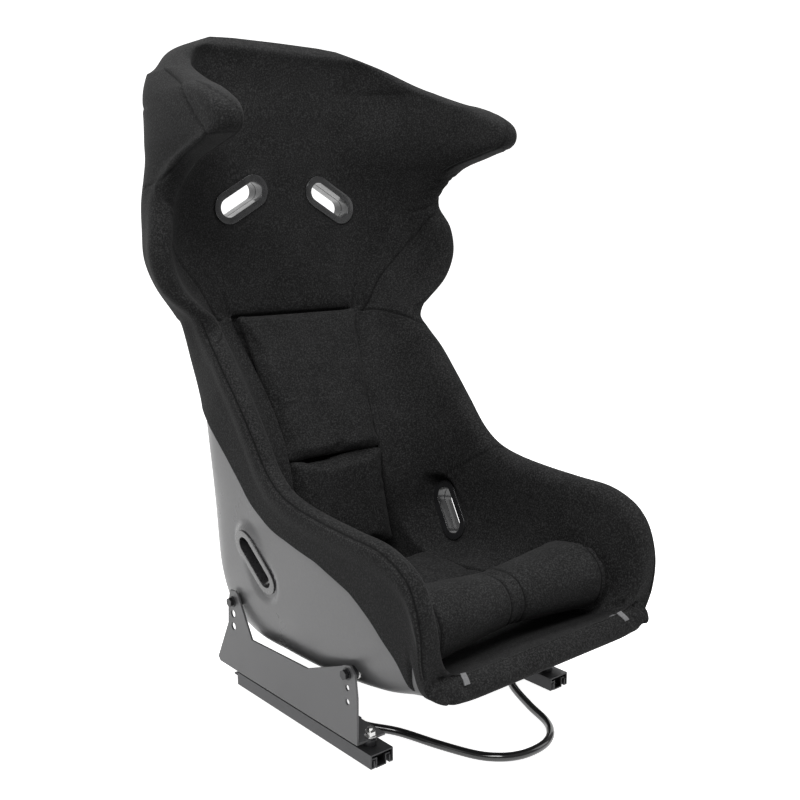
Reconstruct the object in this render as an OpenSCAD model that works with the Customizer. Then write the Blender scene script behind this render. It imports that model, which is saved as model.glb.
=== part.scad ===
// Fixed-back racing bucket seat with head wings, side brackets and
// sliding rails worked by a release bar. Occupant faces -Y, +Z is up.

/* [Seat bucket] */
// Width between the rim roll centres at the hips
hip_w = 424; // [350:1:510]
// Width between the rim roll centres at the shoulders
shoulder_w = 564; // [500:1:620]
// Width between the rim roll centres of the head wings
wing_w = 500; // [440:1:560]
// Height of the head's top edge above the floor
head_top = 1012; // [900:1:1215]
// Reach of the pan in front of the rail middle
pan_reach = 300; // [260:1:340]
// Wall of the moulded shell
shell_t = 4.5; // [3:0.5:8]
// Overlap of the fabric down the outside of the shell
skirt_h = 52; // [30:1:70]
// Clear gap between a pad and what it lies against
pad_gap = 1; // [0.5:0.5:3]

/* [Belt slots] */
// Length of the opening in a belt slot bezel
slot_len = 84; // [60:0.1:101]
// Height of the opening in a belt slot bezel
slot_h = 30; // [20:1:36]
// Width of the bezel's flange around the opening
bezel_border = 11; // [6:1:14]
// Thickness of the bezel's flange
bezel_t = 3; // [2:0.5:5]
// Distance between the two shoulder slots
shoulder_slot_gap = 174; // [150:1:200]
// Height of the shoulder slots above the floor
shoulder_slot_z = 751; // [700:1:790]
// Tilt of each shoulder slot
shoulder_slot_tilt = 30; // [0:1:45]
// Rake of each lap slot, top to the rear
lap_slot_rake = 52; // [30:1:70]

/* [Side mounting] */
// Distance between front and rear side bolts
bolt_span = 290; // [260:1:310]
// Height of the rear side bolts
rear_bolt_z = 142; // [136:1:150]
// Height of the front side bolts
front_bolt_z = 126; // [120:1:134]
// Diameter of the side bolts
bolt_d = 8; // [6:1:10]
// Pitch of the spare height holes in the brackets
hole_pitch = 20; // [18:1:22]
// Plate thickness of the side brackets
bracket_t = 3; // [2:0.5:4]
// Length of the spacer between bracket and shell
spacer_t = 9; // [5:1:14]

/* [Sliding rails] */
// Length of the moving rail
rail_len = 336; // [320:1:400]
// Width of the moving rail
rail_w = 38; // [34:0.1:46]
// Height of the rail pair
rail_h = 22; // [20:1:28]
// Sheet thickness of both rails
rail_t = 2.2; // [1.5:0.1:2.6]
// Tail of the floor rail behind the moving rail
rail_tail = 15; // [8:1:30]
// Gap between the moving rail and the bracket flange
flange_gap = 9; // [7:1:14]
// Distance between the floor bolts along the rail
floor_bolt_span = 280; // [240:1:296]
// Diameter of the floor bolt holes
floor_hole_d = 8.5; // [6.5:0.5:10.5]
// Diameter of the bearing balls
ball_d = 4; // [3:0.5:4]
// Pitch of the lock notches
notch_pitch = 10; // [8:1:14]

/* [Release bar] */
// Diameter of the release bar
bar_d = 12; // [10:0.1:14.5]
// Reach of the bar in front of the rail middle
bar_reach = 280; // [260:1:330]

/* [Hidden] */

/* --- bucket stations ---
Each station is a section in a plane that holds the X axis. It runs from the
spine point of the trim to the centre of the rim roll. Columns: trim spine y and
z, half of its floor, share of the rise at the pad recess, half-width at the
wall's foot, foot curve, shell spine y and z, half of the shell's floor,
half-width at its foot, foot curve, rim centre x, y and z, roll radius. */
hip_x = hip_w / 2;
shoulder_x = shoulder_w / 2;
wing_x = wing_w / 2;
waist_z = 560;
nominal_top = 1012;
STATIONS = [
    [-298, 156, 120, 0, 150, 0.4, -300, 140, 124, 170, 0.3, hip_x - 20, -297, 156, 18],
    [-292, 162, 145, 0, 168, 0.4, -290, 135, 149, 182, 0.3, hip_x - 5, -299, 189, 18],
    [-275, 157, 158, 0, 182, 0.4, -270, 129, 154, 190, 0.3, hip_x, -297, 237, 18],
    [-235, 148, 160, 0, 186, 0.35, -232, 121, 155, 194, 0.28, hip_x + 1, -275, 285, 18],
    [-180, 132, 158, 0.04, 186, 0.3, -180, 107, 158, 194, 0.24, hip_x + 1, -225, 310, 18],
    [-110, 122, 138, 0.2, 184, 0.3, -110, 97, 162, 194, 0.24, hip_x, -160, 315, 18],
    [-30, 120, 131, 0.26, 183, 0.3, -30, 89, 162, 194, 0.24, hip_x - 1, -95, 320, 18],
    [50, 120, 131, 0.24, 181, 0.3, 50, 87, 162, 194, 0.24, hip_x - 2, -35, 328, 18],
    [120, 126, 131, 0.2, 178, 0.3, 130, 90, 163, 197, 0.24, hip_x - 4, 10, 342, 18],
    [170, 150, 114, 0.28, 168, 0.35, 196, 112, 160, 198, 0.22, hip_x - 6, 45, 368, 18],
    [192, 200, 95, 0.42, 148, 0.4, 220, 165, 164, 203, 0.22, hip_x - 8, 77, 408, 18],
    [200, 275, 92, 0.45, 138, 0.4, 226, 262, 164, 205, 0.22, hip_x - 9, 112, 450, 18],
    [213, 350, 95, 0.42, 134, 0.4, 236, 345, 160, 205, 0.25, hip_x - 9, 148, 490, 18],
    [240, 430, 103, 0.37, 136, 0.4, 260, 425, 150, 199, 0.3, hip_x - 12, 180, 520, 18],
    [270, 500, 113, 0.3, 150, 0.4, 292, 495, 140, 200, 0.35, hip_x - 13, 204, 545, 18],
    [290, 554, 121, 0.2, 165, 0.35, 308, 554, 135, 209, 0.4, hip_x - 6, 208, 568, 18],
    [278, 570, 118, 0, 175, 0.3, 310, 570, 133, 220, 0.4, hip_x + 5, 206, 580, 18],
    [280, 615, 115, 0, 200, 0.3, 314, 615, 128, 240, 0.4, shoulder_x - 24, 207, 616, 18],
    [284, 660, 110, 0, 222, 0.3, 318, 660, 120, 260, 0.4, shoulder_x - 6, 205, 660, 18],
    [287, 705, 105, 0, 225, 0.3, 322, 705, 115, 264, 0.4, shoulder_x - 10, 209, 705, 18],
    [289, 748, 95, 0, 215, 0.3, 325, 748, 105, 266, 0.35, shoulder_x - 25, 225, 750, 18],
    [290, 785, 85, 0, 210, 0.3, 327, 785, 100, 270, 0.3, wing_x + 3, 170, 797, 19],
    [291, 815, 75, 0, 205, 0.3, 329, 815, 95, 273, 0.28, wing_x + 4, 97, 820, 20],
    [292, 840, 72, 0, 206, 0.3, 330, 840, 92, 273, 0.26, wing_x + 5, 50, 836, 20],
    [293, 862, 72, 0, 204, 0.3, 331, 862, 90, 272, 0.26, wing_x + 5, 51, 864, 20],
    [294, 887, 74, 0, 200, 0.3, 332, 887, 88, 268, 0.26, wing_x, 96, 890, 20],
    [296, 916, 80, 0, 196, 0.3, 333, 916, 88, 260, 0.28, wing_x - 11, 152, 910, 19],
    [298, 944, 88, 0, 188, 0.35, 334, 944, 90, 246, 0.32, wing_x - 24, 212, 932, 18],
    [300, 968, 95, 0, 160, 0.4, 334, 968, 95, 225, 0.4, wing_x - 46, 260, 956, 18],
    [304, 984, 100, 0, 140, 0.4, 333, 984, 100, 185, 0.4, wing_x - 76, 285, 974, 17],
    [307, 994, 100, 0, 115, 0.3, 331, 994, 100, 130, 0.4, wing_x - 110, 295, 985, 17]];
LAST = len(STATIONS) - 1;
WALL_STEPS = 7;
rim_out = 9;
bond_gap = 1.5;
NOMINAL_REACH = 300;

function lerp(a, b, t) = a + (b - a) * t;
function unit(v) = v / norm(v);
// Smooth curve through four rows at t between the middle two
function blend4(a, b, c, d, t) =
    b + 0.5 * t * ((c - a) + t * (2 * a - 5 * b + 4 * c - d + t * (3 * (b - c) + d - a)));
function row(i) = STATIONS[max(0, min(LAST, i))];
function station(u) = let (i = min(floor(u), LAST - 1))
    blend4(row(i - 1), row(i), row(i + 1), row(i + 2), u - i);
// Heights above the waist follow the head, lengths in front follow the pan
function tall(z) = z <= waist_z ? z :
    waist_z + (z - waist_z) * (head_top - waist_z) / (nominal_top - waist_z);
function long(y) = y >= 0 ? y : y * pan_reach / NOMINAL_REACH;
// Floor widths follow the hips
hip_w_drawn = 424;
function wide(x) = x * hip_w / hip_w_drawn;

// Point on a station: x, and share v of the way from spine to rim
function at(s, x, v) = [x, long(lerp(s[0], s[12], v)), tall(lerp(s[1], s[13], v))];
function at_shell(s, x, v) = [x, long(lerp(s[6], s[12], v)), tall(lerp(s[7], s[13], v))];
// Wall curve from floor edge a and rise r over the foot w up to rim x, j from 0 to 1
function wall(a, r, w, k, x, j) = let (i = 1 - j)
    [i*i*i*a + 3*i*i*j*w + 3*i*j*j*lerp(w, x, k) + j*j*j*x,
     i*i*i*r + 3*i*i*j*r + 3*i*j*j*lerp(r, 1, k) + j*j*j];
function rim_centre(u) = let (s = station(u)) [s[11], long(s[12]), tall(s[13])];

// Half outlines, from the floor's edge to the rim: trim skin, and shell
function skin(u) = let (s = station(u), a = wide(s[2]))
    concat([at(s, a - 1, 0)], [for (j = [0:WALL_STEPS])
        let (p = wall(a, max(0, s[3]), wide(s[4]), s[5], s[11] - s[14] + 2, j / WALL_STEPS))
        at(s, p[0], p[1])]);
function shell_face(u, inset) = let (s = station(u), d = unit([s[12] - s[6], s[13] - s[7]]) * inset)
    [for (j = [-1:WALL_STEPS]) let (p = wall(wide(s[8]), 0, wide(s[9]) - inset, s[10],
        s[11] + rim_out - inset, max(0, j) / WALL_STEPS), x = j < 0 ? min(wide(s[2]), wide(s[8] - 3)) : p[0],
        q = at_shell(s, x, p[1]), f = 1 - p[1]) q + [0, d[0] * f, d[1] * f]];
// Point on the shell's side at share j of its wall curve, pushed out by grow
function shell_side(u, j, grow) = let (s = station(u),
    p = wall(wide(s[8]), 0, wide(s[9]) + grow, s[10], s[11] + rim_out + grow, j)) at_shell(s, p[0], p[1]);
function mirror_x(p) = [-p[0], p[1], p[2]];
function both_sides(half) = concat([for (i = [len(half) - 1:-1:0]) mirror_x(half[i])], half);
function reversed(v) = [for (i = [len(v) - 1:-1:0]) v[i]];

// Closed skin over a stack of rings with flat ends
module loft(rings) {
    n = len(rings[0]);
    m = len(rings);
    sides = [for (r = [0:m - 2], k = [0:n - 1], h = [0, 1]) let (l = (k + 1) % n)
        h == 0 ? [r * n + k, (r + 1) * n + l, r * n + l] : [r * n + k, (r + 1) * n + k, (r + 1) * n + l]];
    cap = [for (k = [0:floor(n / 2) - 2], h = [0, 1]) h == 0 ? [k, n - 2 - k, n - 1 - k] :
        [k, k + 1, n - 2 - k]];
    ends = concat(cap, [for (f = cap) [f[2] + (m - 1) * n, f[1] + (m - 1) * n, f[0] + (m - 1) * n]]);
    polyhedron([for (r = rings) each r], concat(sides, ends), convexity = 12);
}

// Closed hoop of rings
module hoop(rings) {
    n = len(rings[0]);
    m = len(rings);
    polyhedron([for (r = rings) each r],
        [for (r = [0:m - 1], k = [0:n - 1], h = [0, 1]) let (l = (k + 1) % n, q = (r + 1) % m)
            h == 0 ? [r * n + k, q * n + l, r * n + l] : [r * n + k, q * n + k, q * n + l]],
        convexity = 12);
}

function steps(from, to, per) = [for (i = [0:(to - from) * per]) from + i / per];
// One block of foam trim between two stations, short of both by a joint
module trim_band(from, to) {
    joint = 0.05;
    inner = steps(from + 0.5, to - 0.5, 2);
    loft([for (u = concat([from == 0 ? 0 : from + joint], inner, [to == LAST ? LAST : to - joint]))
        concat(both_sides(skin(u)), reversed(both_sides(shell_face(u, shell_t + bond_gap))))]);
}

/* --- belt slots --- */
module stadium(length, height) {
    hull() for (s = [-1, 1]) translate([s * (length - height) / 2, 0]) circle(d = height, $fn = 32);
}
slot_sleeve_t = 2.5;
slot_fit = 0.4;
lap_x = hip_x - 7;
lap_y = 85;
lap_z = 226;
lap_lean = 12;
slot_skin_y = 289;
slot_back_y = 324;
module at_shoulder_slots() {
    for (s = [-1, 1]) translate([s * shoulder_slot_gap / 2, 0, shoulder_slot_z])
        rotate([0, s * shoulder_slot_tilt, 0]) rotate([90, 0, 0]) children();
}
module at_lap_slots() {
    for (s = [0, 1]) mirror([s, 0, 0]) translate([lap_x, lap_y, lap_z]) rotate([0, lap_lean, 0])
        rotate([lap_slot_rake, 0, 0]) rotate([90, 0, 90]) children();
}
// Clearance for the sleeve with pockets for both flanges
module slot_cut(depth, front, back) {
    sleeve = 2 * slot_sleeve_t + 2 * slot_fit;
    flange = 2 * bezel_border + 2 * slot_fit;
    for (part = [[-depth, 2 * depth, sleeve], [front, depth, flange], [back - depth, depth, flange],
        [front - 1, 1.1, sleeve + 2]])
        translate([0, 0, part[0]]) linear_extrude(part[1]) stadium(slot_len + part[2], slot_h + part[2]);
}
// Flange ring seated at z = seat facing up, with a sleeve running down to z = foot
module bezel(seat, foot) {
    difference() {
        union() {
            translate([0, 0, seat]) linear_extrude(bezel_t)
                stadium(slot_len + 2 * bezel_border, slot_h + 2 * bezel_border);
            translate([0, 0, foot]) linear_extrude(seat + 1 - foot)
                stadium(slot_len + 2 * slot_sleeve_t, slot_h + 2 * slot_sleeve_t);
        }
        translate([0, 0, foot - 1]) linear_extrude(seat + bezel_t + 2 - foot) stadium(slot_len, slot_h);
    }
}
shoulder_mid = -(slot_skin_y + slot_back_y) / 2;
lap_outer = 1;
lap_inner = -26;
lap_mid = (lap_outer + lap_inner) / 2;
part_gap = 0.3;

/* --- places shared by brackets, rails and bar --- */
bolt_mid_y = 16;
bolt_y = [bolt_mid_y - bolt_span / 2, bolt_mid_y + bolt_span / 2];
bolt_z = [front_bolt_z, rear_bolt_z];
shell_side_x = hip_x - 21;
bracket_x = shell_side_x + spacer_t;
rail_x = bracket_x + bracket_t - 8 - rail_w / 2;
flange_z = rail_h + flange_gap;
stud_d = 8;
stud_y = [-143, 130];
washer_t = 1.6;
fit = 0.3;
half_turn = 180;

module both_rails() { for (s = [-1, 1]) translate([s * rail_x, 0, 0]) children(); }
module side(s) { mirror([s < 0 ? 1 : 0, 0, 0]) children(); }
module along_x(x, y, z, length, d, fn = 48) {
    translate([x, y, z]) rotate([0, 90, 0]) cylinder(d = d, h = length, $fn = fn);
}

/* --- rails --- */
ledge_top = rail_h - rail_t - ball_d - 0.4;
ledge_x = rail_w / 2 - rail_t - 1.4;
web_x = 9;
hook_in = 4.6;
notch_w = 5;
notch_depth = 2.4;
notch_run = 180;
window = [46, 9, 15];
function two_halves(half) = concat(half, [for (p = reversed(half)) [-p[0], p[1]]]);
module channel_outline() {
    x = rail_w / 2;
    top = rail_h;
    foot = 2;
    lip = ledge_top - rail_t - fit;
    half = [[x, top], [x, foot], [x - hook_in - rail_t, foot], [x - hook_in - rail_t, lip],
        [x - hook_in, lip], [x - hook_in, foot + rail_t], [x - rail_t, foot + rail_t], [x - rail_t, top - rail_t]];
    polygon(two_halves(half));
}
module floor_rail_outline() {
    polygon(two_halves([[web_x, 0], [web_x, ledge_top - rail_t], [ledge_x, ledge_top - rail_t],
        [ledge_x, ledge_top], [web_x - rail_t, ledge_top], [web_x - rail_t, rail_t]]));
}
module run_y(from, to) { translate([0, to, 0]) rotate([90, 0, 0]) linear_extrude(to - from) children(); }

module lower_rail(s) {
    count = floor(notch_run / notch_pitch);
    translate([s * rail_x, 0, 0]) difference() {
        run_y(-rail_len / 2 + 2, rail_len / 2 + rail_tail) floor_rail_outline();
        for (y = [-1, 1]) translate([0, y * floor_bolt_span / 2, -1])
            cylinder(d = floor_hole_d, h = rail_t + 2, $fn = 48);
        for (i = [0:count]) translate([-s * ledge_x, (i - count / 2) * notch_pitch + latch_y, ledge_top])
            cube([2 * notch_depth, notch_w, 2 * rail_t + 1], center = true);
    }
}
module upper_rail(s) {
    translate([s * rail_x, 0, 0]) difference() {
        run_y(-rail_len / 2, rail_len / 2) channel_outline();
        for (y = stud_y) translate([0, y, rail_h - rail_t - 1])
            cylinder(d = stud_d + 0.2, h = rail_t + 2, $fn = 48);
        translate([-s * (rail_w / 2 - window[1] / 2 + 1), latch_y, window[2] / 2 + 1])
            cube([window[1], window[0], window[2]], center = true);
    }
}
ball_z = ledge_top + 0.2 + ball_d / 2;
ball_x = rail_w / 2 - rail_t - 0.2 - ball_d / 2;
cage_len = 190;
cage_t = 0.8;
balls_per_row = 7;
function ball_y(i) = (i / (balls_per_row - 1) - 0.5) * (cage_len - 16);
module at_balls() {
    for (m = [-1, 1], i = [0:balls_per_row - 1]) translate([m * ball_x, ball_y(i), ball_z]) children();
}
module ball_cage(s) {
    translate([s * rail_x, 0, 0]) difference() {
        translate([0, 0, ball_z]) cube([2 * ball_x + ball_d - 0.6, cage_len, cage_t], center = true);
        at_balls() cylinder(d = ball_d + 0.2, h = 3, center = true, $fn = 32);
    }
}
module bearing_balls(s) { translate([s * rail_x, 0, 0]) at_balls() sphere(d = ball_d, $fn = 32); }

/* --- brackets and fasteners --- */
module rail_studs() {
    color("silver") both_rails() for (y = stud_y) translate([0, y, rail_h - rail_t - 1.4]) {
        cylinder(d = stud_d - 0.1, h = flange_gap + rail_t + bracket_t + 14, $fn = 48);
        cylinder(d = stud_d + 5, h = 1.3, $fn = 48);
    }
}
module spacer_washers() {
    color("dimgray") both_rails() for (y = stud_y) translate([0, y, rail_h]) difference() {
        cylinder(d = 17, h = flange_gap, $fn = 48);
        translate([0, 0, -1]) cylinder(d = stud_d + 0.4, h = flange_gap + 2, $fn = 48);
    }
}
module flange_nuts() {
    color("silver") both_rails() for (y = stud_y) translate([0, y, flange_z + bracket_t]) difference() {
        union() {
            cylinder(d = 17, h = 1.8, $fn = 48);
            cylinder(d = 15, h = 8, $fn = 6);
        }
        translate([0, 0, -1]) cylinder(d = stud_d, h = 10, $fn = 48);
    }
}
ear = 13;
rear_hole_slack = 4;
plate_bottom = flange_z;
// Outline of the upright plate, with an ear around each column of bolt holes
module bracket_outline() {
    front = bolt_y[0];
    rear = bolt_y[1];
    difference() {
        polygon([[front - 20, plate_bottom], [rear + 44, plate_bottom], [rear + 50, plate_bottom + 6],
            [rear + ear + 2, rear_bolt_z - 3 * hole_pitch + 22], [rear + ear, rear_bolt_z - 5],
            [rear + 7, rear_bolt_z + 17], [rear - 10, rear_bolt_z + 19], [rear - 17, rear_bolt_z + 12],
            [rear - 52, rear_bolt_z - 46], [bolt_mid_y - 52, front_bolt_z - 25],
            [front + 14, front_bolt_z + 6], [front + 6, front_bolt_z + 10], [front - 7, front_bolt_z + 13],
            [front - 17, front_bolt_z + 4], [front - 21, front_bolt_z - 28]]);
        for (e = [0, 1], i = [0:2]) translate([bolt_y[e], bolt_z[e] - i * hole_pitch])
            circle(d = bolt_d + (e == 1 && i > 0 ? rear_hole_slack : 0.6), $fn = 48);
    }
}
module side_bracket(s) {
    flange_in = bracket_x + bracket_t - rail_x + rail_w / 2 + 2;
    side(s) difference() {
        union() {
            translate([bracket_x, 0, 0]) rotate([90, 0, 90]) linear_extrude(bracket_t) bracket_outline();
            translate([bracket_x + bracket_t - flange_in, bolt_y[0] - 20, flange_z])
                cube([flange_in, bolt_span + 64, bracket_t]);
        }
        for (y = stud_y) translate([rail_x, y, flange_z - 1])
            cylinder(d = stud_d + 0.6, h = bracket_t + 2, $fn = 48);
    }
}
module at_side_bolts() {
    for (s = [0, 1], e = [0, 1]) mirror([s, 0, 0]) translate([0, bolt_y[e], bolt_z[e]]) rotate([0, 90, 0])
        children();
}
insert_len = 13;
insert_x = shell_side_x - insert_len;
module side_bolts() {
    head_x = bracket_x + bracket_t + washer_t;
    color([0.05, 0.05, 0.06]) at_side_bolts() {
        translate([0, 0, head_x]) cylinder(d = 14.4, h = 5.5, $fn = 6);
        translate([0, 0, insert_x + 2]) cylinder(d = bolt_d - 0.1, h = head_x - insert_x - 2, $fn = 48);
    }
}
module bolt_washers() {
    color("dimgray") at_side_bolts() translate([0, 0, bracket_x + bracket_t]) difference() {
        cylinder(d = 17, h = washer_t, $fn = 48);
        translate([0, 0, -1]) cylinder(d = bolt_d + 0.4, h = washer_t + 2, $fn = 48);
    }
}
module shell_spacers() {
    color("dimgray") at_side_bolts() translate([0, 0, shell_side_x]) difference() {
        cylinder(d = 19, h = spacer_t, $fn = 48);
        translate([0, 0, -1]) cylinder(d = bolt_d + 0.4, h = spacer_t + 2, $fn = 48);
    }
}
insert_d = 22;
module shell_inserts() {
    color("silver") at_side_bolts() translate([0, 0, insert_x]) difference() {
        cylinder(d = insert_d, h = insert_len, $fn = 48);
        translate([0, 0, -1]) cylinder(d = bolt_d, h = insert_len + 2, $fn = 48);
    }
}

/* --- shell and trim --- */
module shell() {
    color([0.42, 0.42, 0.43]) difference() {
        loft([for (u = steps(0, LAST, 2))
            concat(both_sides(shell_face(u, shell_t)), reversed(both_sides(shell_face(u, 0))))]);
        at_shoulder_slots() slot_cut(400, -slot_skin_y, -slot_back_y);
        at_lap_slots() slot_cut(60, lap_outer, lap_inner);
        at_side_bolts() translate([0, 0, insert_x - 40]) cylinder(d = insert_d + 0.6, h = 80, $fn = 32);
    }
}
fabric = [0.13, 0.13, 0.14];
module insert_cut() {
    at_side_bolts() translate([0, 0, insert_x - 40]) cylinder(d = insert_d + 1, h = 80, $fn = 32);
}
module front_trim() {
    color(fabric) difference() {
        trim_band(0, 3.5);
        insert_cut();
    }
}
module pan_trim() {
    color(fabric) difference() {
        trim_band(3.5, 7);
        insert_cut();
    }
}
module hip_trim() {
    color(fabric) difference() {
        trim_band(7, 11);
        at_lap_slots() slot_cut(60, lap_outer, lap_inner);
        insert_cut();
    }
}
module back_trim() { color(fabric) trim_band(11, 15); }
module shoulder_trim() {
    color(fabric) difference() {
        trim_band(15, 21);
        at_shoulder_slots() slot_cut(400, -slot_skin_y, -slot_back_y);
    }
}
module head_trim() { color(fabric) trim_band(21, LAST); }

// The padded roll runs round the whole rim as one closed hoop
ROLL_SIDES = 12;
lip = rim_centre(0);
crest = rim_centre(LAST);
rim_path = concat([for (u = steps(0, LAST, 2)) concat(rim_centre(u), station(u)[14])],
    [for (t = [0.2:0.2:0.8]) concat([lerp(crest[0], -crest[0], t), crest[1] + 5 * sin(half_turn * t),
        crest[2] + 2 * sin(half_turn * t)], 18)],
    [for (u = reversed(steps(0, LAST, 2))) concat(mirror_x(rim_centre(u)), station(u)[14])],
    [for (t = [0.1:0.1:0.9]) concat([lerp(-lip[0], lip[0], t), lip[1] - 4 * sin(half_turn * t), lip[2]], 17)]);
rim_middle = [0, 0, 450];
function ring(i) = let (n = len(rim_path), p = rim_path[i], c = [p[0], p[1], p[2]],
    before = rim_path[(i + n - 1) % n], after = rim_path[(i + 1) % n],
    t = unit([for (k = [0:2]) after[k] - before[k]]), out = c - rim_middle,
    a = unit(out - (out * t) * t), b = cross(t, a))
    [for (k = [0:ROLL_SIDES - 1]) c + p[3] * (cos(360 * k / ROLL_SIDES) * a + sin(360 * k / ROLL_SIDES) * b)];
module edge_roll() { color(fabric) hoop([for (i = [0:len(rim_path) - 1]) ring(i)]); }

// Fabric wrapped over the rim and down the outside of the shell
skirt_t = 4;
module outer_trim(s) {
    color(fabric) side(s) loft([for (u = steps(1, 20, 2))
        let (st = station(u), rise = norm([st[12] - st[6], st[13] - st[7]]),
            low = 1 - 0.48 * min(0.6, skirt_h / rise), js = [low, (1 + low) / 2, 1])
        concat([for (j = js) shell_side(u, j, bond_gap + 0.3)], [for (j = reversed(js)) shell_side(u, j, skirt_t)])]);
}

/* --- loose pads --- */
// Flat pad with rounded edges, thickness along Z
module pad(length, width, thick, r = 12) {
    hull() for (x = [-1, 1], y = [-1, 1]) translate([x * (width / 2 - r), y * (length / 2 - r), 0]) {
        translate([0, 0, 4]) cylinder(r = r, h = max(1, thick - 4 - r / 2), $fn = 24);
        translate([0, 0, thick - 2]) cylinder(r = r * 0.6, h = 2, $fn = 24);
        cylinder(r = r * 0.8, h = 4, $fn = 24);
    }
}
module seat_pad() {
    color(fabric) translate([0, -20, 124 + pad_gap]) pad(212, 2 * wide(126) - pad_gap, 50);
}
roll_r = 50;
module thigh_roll(s) {
    w = wide(171) - pad_gap;
    color(fabric) side(s) hull() for (x = [roll_r / 4 + pad_gap, w - roll_r * 0.3], p = [[-216, 203], [-184, 198]])
        translate([x, long(p[0]), p[1]]) rotate([0, 90, 0])
            cylinder(r = roll_r, h = roll_r * 0.5, center = true, $fn = 32);
}
// Slab between a lower and an upper edge: each [half-width, y, z, thickness]
module back_slab(low, high, lean, r = 9) {
    hull() for (e = [low, high], s = [-1, 1], k = [0, 1])
        translate([s * (e[0] - r), e[1] + r, e[2]] + k * [0, cos(lean), -sin(lean)] * (e[3] - 2 * r))
            sphere(r = r, $fn = 20);
}
module lower_back_pad() {
    color(fabric) back_slab([wide(89) - pad_gap, 124, 192, 51], [wide(88) - pad_gap, 152, 326, 46], 12);
}
module upper_back_pad() {
    color(fabric) back_slab([wide(89) - pad_gap, 156, 347, 32], [wide(114) - pad_gap, 256, 544, 18], 22);
}
module webbing_tabs() {
    color("gray") for (s = [-1, 1]) translate([s * wide(152), lip[1] + 2, lip[2] + 17])
        cube([10, 24, 1.6], center = true);
}

/* --- belt slot bezels --- */
plastic = [0.03, 0.03, 0.03];
module shoulder_bezels_front() {
    color(plastic) at_shoulder_slots() bezel(-slot_skin_y, shoulder_mid + part_gap);
}
module shoulder_bezels_rear() {
    color(plastic) at_shoulder_slots() mirror([0, 0, 1]) bezel(slot_back_y, part_gap - shoulder_mid);
}
module lap_bezels_inner() {
    color(plastic) at_lap_slots() mirror([0, 0, 1]) bezel(-lap_inner, part_gap - lap_mid);
}
module lap_bezels_outer() { color(plastic) at_lap_slots() bezel(lap_outer, lap_mid + part_gap); }

/* --- release bar and latches --- */
latch_y = -20;
pivot_y = -70;
pivot_z = 17;
arm_x = rail_x - rail_w / 2 - 9;
pin_d = 6;
bar_z = 8;
// Half of the bar's route, from the latch to the middle of the grip
bar_route = [[arm_x, pivot_y - 8, pivot_z + 2], [arm_x, pivot_y - 17, pivot_z + 2], [arm_x - 8, pivot_y - 28, pivot_z],
    [arm_x - 35, pivot_y - 59, bar_z + 4], [90, -185, bar_z], [71, 44 - bar_reach, bar_z],
    [51, 18 - bar_reach, bar_z], [27, 4 - bar_reach, bar_z], [0, -bar_reach, bar_z]];
BAR_SIDES = 14;
BAR_STEPS = 4;
bar_line = let (n = len(bar_route), full = concat(bar_route, [for (i = [n - 2:-1:0]) mirror_x(bar_route[i])]))
    [for (i = [1:len(full) - 3], k = [0:BAR_STEPS - 1])
        blend4(full[i - 1], full[i], full[i + 1], full[i + 2], k / BAR_STEPS)];
module release_bar() {
    n = len(bar_line);
    color([0.04, 0.04, 0.04]) loft([for (i = [0:n - 1])
        let (t = unit(bar_line[min(n - 1, i + 1)] - bar_line[max(0, i - 1)]),
            a = unit(cross(t, [0, 0, 1])), b = cross(a, t))
        [for (k = [BAR_SIDES - 1:-1:0]) bar_line[i] + bar_d / 2
            * (cos(360 * k / BAR_SIDES) * a + sin(360 * k / BAR_SIDES) * b)]]);
}
lug_t = 2.5;
module latch_lugs() {
    color("dimgray") for (s = [-1, 1]) side(s) difference() {
        union() {
            translate([rail_x - rail_w / 2 - 16, pivot_y - 9, rail_h]) cube([25, 18, lug_t]);
            translate([rail_x - rail_w / 2 - 16, pivot_y - 9, pivot_z - 9]) cube([lug_t, 18, 14]);
        }
        along_x(rail_x - rail_w / 2 - 20, pivot_y, pivot_z, 18, pin_d + 0.4);
    }
}
module pivot_pins() {
    color("silver") for (s = [-1, 1]) side(s) {
        along_x(rail_x - rail_w / 2 - 17, pivot_y, pivot_z, 16.8, pin_d);
        along_x(rail_x - rail_w / 2 - 18.5, pivot_y, pivot_z, 2, pin_d + 4);
    }
}
plate_x = rail_x - rail_w / 2 - 4;
plate_t = 3;
module latch_plates() {
    teeth = 3;
    reach = rail_w / 2 - ledge_x + 4 - fit - 0.1;
    color("dimgray") for (s = [-1, 1]) side(s) {
        difference() {
            translate([plate_x, 0, 0]) rotate([90, 0, 90]) linear_extrude(plate_t)
                polygon([[pivot_y - 18, pivot_z - 5], [pivot_y - 18, pivot_z + 3], [pivot_y + 10, pivot_z + 3],
                    [latch_y + 18, ledge_top + 1], [latch_y + 18, ledge_top - 6], [latch_y - 18, ledge_top - 6],
                    [pivot_y + 8, pivot_z - 8]]);
            along_x(plate_x - 1, pivot_y, pivot_z, plate_t + 2, pin_d + 0.1);
        }
        translate([arm_x - 3, pivot_y - 18, pivot_z - 4]) cube([plate_x - arm_x + 3.5, 7, 7]);
        for (i = [0:teeth - 1]) translate([plate_x, latch_y + (i - 1) * notch_pitch - notch_w / 2 + 0.4,
            ledge_top - rail_t + 0.2]) cube([reach, notch_w - 0.8, rail_t - 0.4]);
    }
}
module latch_springs() {
    wire = 1.2;
    color("silver") for (s = [-1, 1]) side(s) for (i = [0:3])
        translate([rail_x - rail_w / 2 - 12.5 + i * (wire + 0.1), pivot_y, pivot_z]) rotate([0, 90, 0])
            rotate_extrude($fn = 48) translate([pin_d / 2 + wire / 2 + 0.4, 0]) circle(d = wire, $fn = 16);
}

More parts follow.
